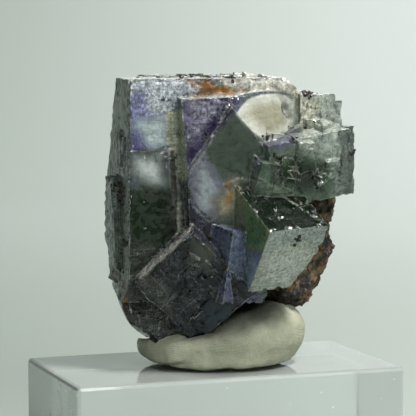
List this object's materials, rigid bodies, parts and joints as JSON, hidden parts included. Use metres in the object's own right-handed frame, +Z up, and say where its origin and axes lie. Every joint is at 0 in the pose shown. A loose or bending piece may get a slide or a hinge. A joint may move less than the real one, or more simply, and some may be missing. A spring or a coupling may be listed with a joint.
{
  "type": "mineral specimen on display block",
  "caption": "Fluorite crystal cluster with rock matrix, pressed into a putty pad on a clear rectangular acrylic display block.",
  "frame": {"origin": "centre of the acrylic block's underside", "axes": "+X along the block's long side, +Y away from the block's front, +Z up"},
  "size_m": [0.065, 0.0441, 0.076],
  "materials": {
    "fluorite": "gloss",
    "matrix_rock": "matte",
    "putty": "matte",
    "acrylic_block": "gloss"
  },
  "bodies": {
    "root": {"fluorite_cluster": "fluorite", "matrix_rock": "matrix_rock", "putty": "putty", "acrylic_block": "acrylic_block"}
  },
  "joints": []
}
